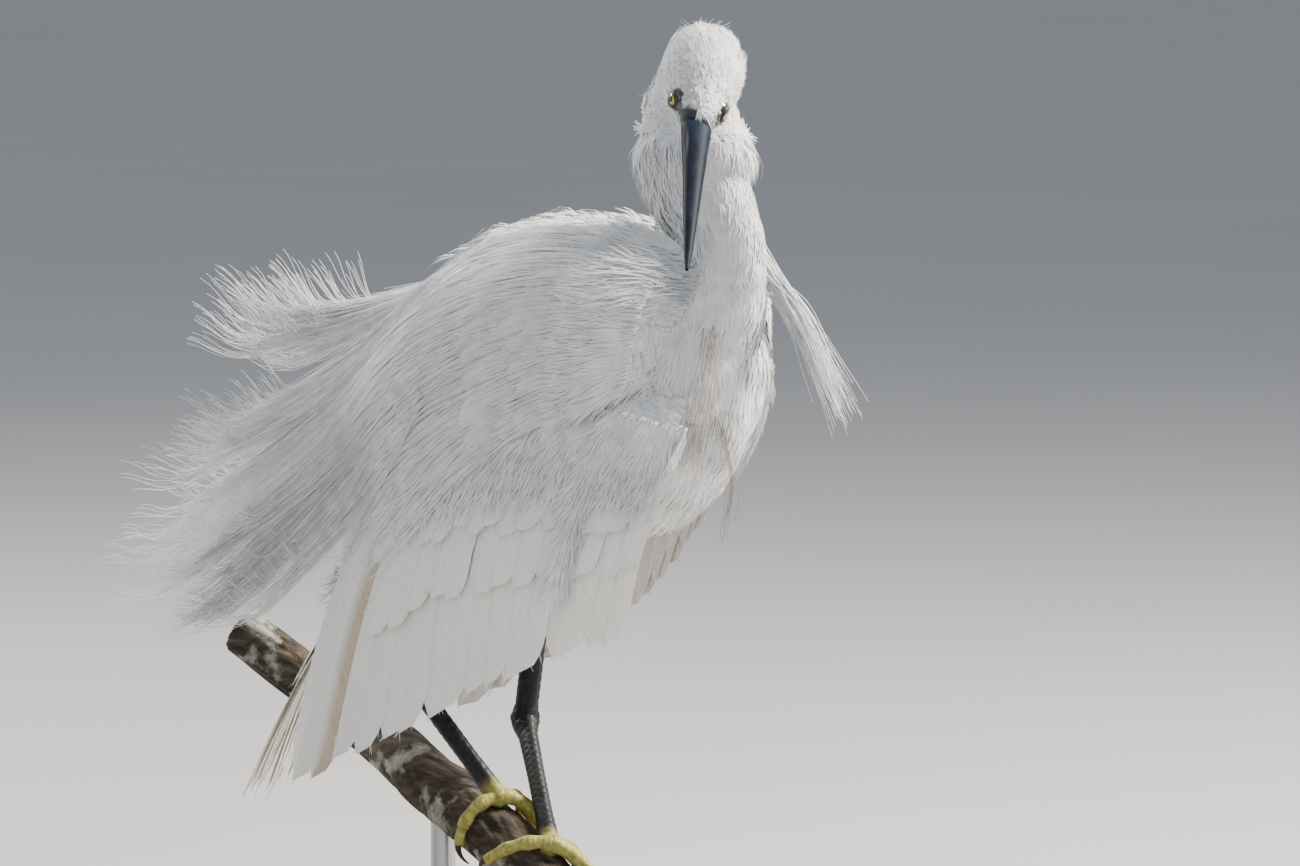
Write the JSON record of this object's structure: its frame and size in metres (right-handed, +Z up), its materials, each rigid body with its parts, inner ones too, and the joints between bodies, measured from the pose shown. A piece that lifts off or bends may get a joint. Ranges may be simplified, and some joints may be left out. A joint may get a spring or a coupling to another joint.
{
  "type": "little egret on a perch, display model",
  "caption": "Life-size still model of a little egret in breeding plumes, standing on a cut branch held by a plain wooden stand.",
  "frame": {"origin": "centre of the underside of the stand's base", "axes": "+X the way the bird walks, +Y its left, +Z up"},
  "size_m": [0.3596, 0.17, 0.4044],
  "materials": {
    "plumage": "soft white feathers",
    "bill": "blue-black horn, slightly glossy",
    "eye": "wet, yellow iris and black pupil",
    "black_leg": "black scaled skin",
    "yellow_foot": "yellow-green scaled skin",
    "claw": "dark horn",
    "bark": "rough dark bark with pale lichen",
    "stand_wood": "plain oiled wood",
    "stand_metal": "satin steel"
  },
  "bodies": {
    "root": {"torso": "plumage", "head": "plumage", "bill_upper": "bill", "bill_lower": "bill", "eye_left": "eye", "eye_right": "eye", "neck": "plumage", "thigh_left": "plumage", "shank_left": "black_leg", "tarsus_left": "black_leg", "thigh_right": "plumage", "shank_right": "black_leg", "tarsus_right": "black_leg", "perch_branch": "bark", "toe_inner_left": "yellow_foot", "claw_inner_left": "claw", "toe_middle_left": "yellow_foot", "claw_middle_left": "claw", "toe_outer_left": "yellow_foot", "claw_outer_left": "claw", "toe_hind_left": "yellow_foot", "claw_hind_left": "claw", "toe_inner_right": "yellow_foot", "claw_inner_right": "claw", "toe_middle_right": "yellow_foot", "claw_middle_right": "claw", "toe_outer_right": "yellow_foot", "claw_outer_right": "claw", "toe_hind_right": "yellow_foot", "claw_hind_right": "claw", "wing_right": "plumage", "wing_left": "plumage", "plumes_back": "plumage", "tail": "plumage", "stand_base": "stand_wood", "stand_rod": "stand_metal"}
  },
  "joints": []
}
